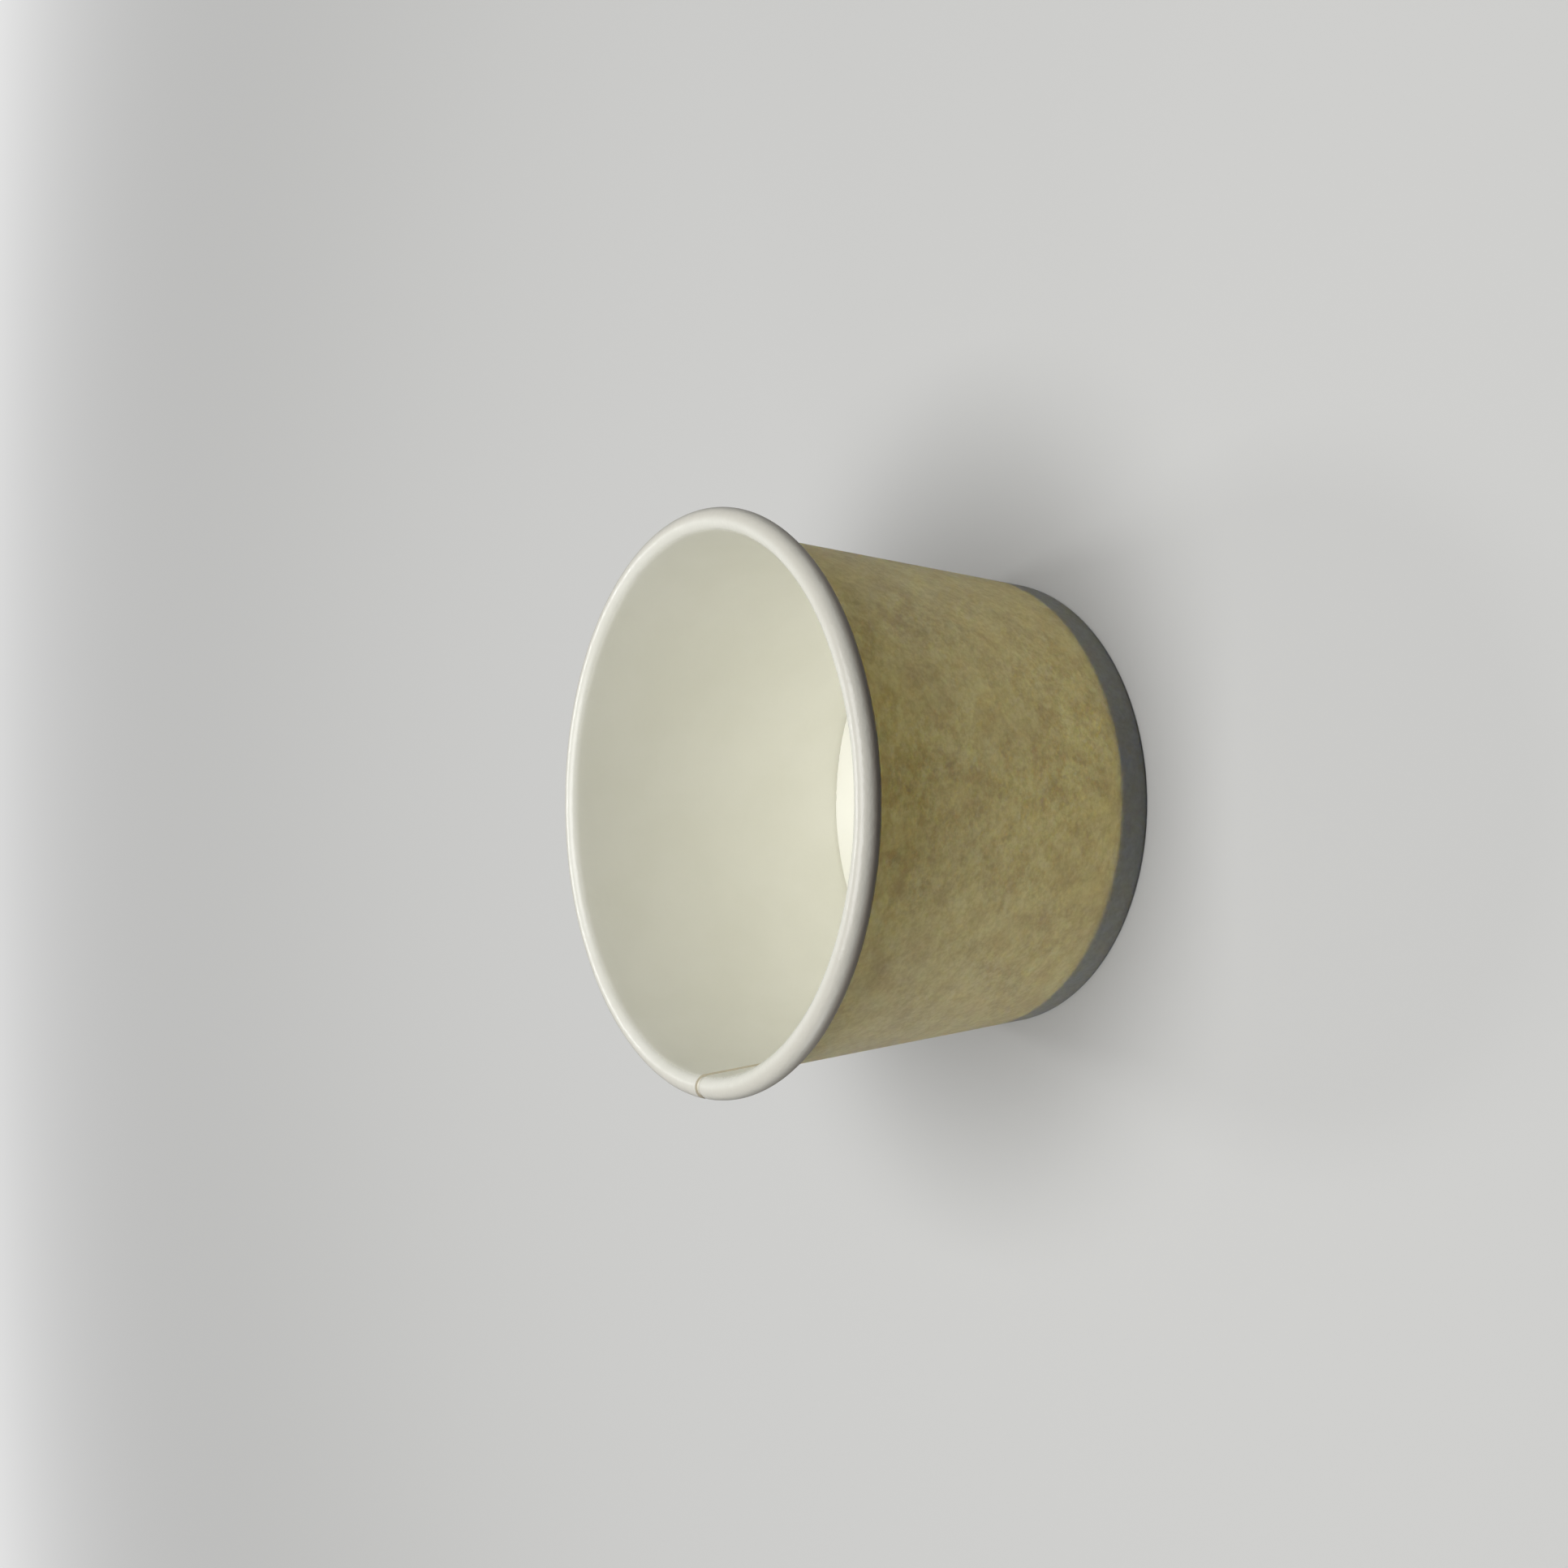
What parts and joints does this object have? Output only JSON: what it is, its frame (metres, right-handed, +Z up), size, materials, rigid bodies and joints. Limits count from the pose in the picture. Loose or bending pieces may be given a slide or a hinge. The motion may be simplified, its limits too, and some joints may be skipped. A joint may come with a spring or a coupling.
{
  "type": "paper ice cream cup",
  "caption": "Small conical paper cup for ice cream: board wall with lap seam, rolled rim and folded hem, and a raised floor disc held by its skirt.",
  "frame": {"origin": "middle of the foot, on the surface that the cup stands on", "axes": "+Z up the cup's axis towards the rim; the lap seam's raw inner edge is 1.4 degrees from -X towards -Y, and the picture looks from -Y"},
  "size_m": [0.074, 0.074, 0.0486],
  "materials": {
    "wall_board": "thin pale board, satin white coating inside; looks olive tan outside where light from inside shines through",
    "white_board": "satin coated white board"
  },
  "bodies": {
    "root": {"side_wall": "wall_board", "floor_disc": "white_board"}
  },
  "joints": []
}
